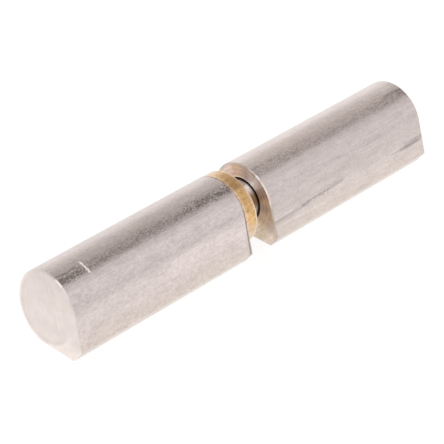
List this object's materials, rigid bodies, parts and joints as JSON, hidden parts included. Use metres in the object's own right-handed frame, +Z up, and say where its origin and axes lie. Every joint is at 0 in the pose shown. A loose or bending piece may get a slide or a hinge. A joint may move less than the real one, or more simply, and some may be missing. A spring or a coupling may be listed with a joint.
{
  "type": "weld-on barrel hinge",
  "caption": "Weld-on lift-off barrel hinge of drop-shaped bright steel with a pressed pin and a loose brass bearing ring between the leaves.",
  "frame": {"origin": "on the hinge axis, at the fixed barrel's inner face where the bearing ring seats", "axes": "+X along the hinge axis towards the lift-off leaf, +Z up from the flanks that the hinge lies on, -Y towards the weld noses"},
  "size_m": [0.1006, 0.0177, 0.016],
  "materials": {
    "bright_drawn_steel": "cold drawn, lightly oiled",
    "ground_steel": "centreless ground",
    "turned_brass": "turned"
  },
  "bodies": {
    "fixed leaf": {"fixed_barrel": "bright_drawn_steel", "hinge_pin": "ground_steel"},
    "bearing ring": {"bearing_ring": "turned_brass"},
    "lift-off leaf": {"lift_off_barrel": "bright_drawn_steel"}
  },
  "joints": [
    {"name": "leaf_swing", "type": "hinge", "parent": "fixed leaf", "child": "bearing ring", "pos_m": [0, 0, 0], "axis": [1, 0, 0], "continuous": true},
    {"name": "leaf_lift_off", "type": "slide", "parent": "bearing ring", "child": "lift-off leaf", "axis": [1, 0, 0], "range_m": [-0.0035, 0.038]}
  ]
}
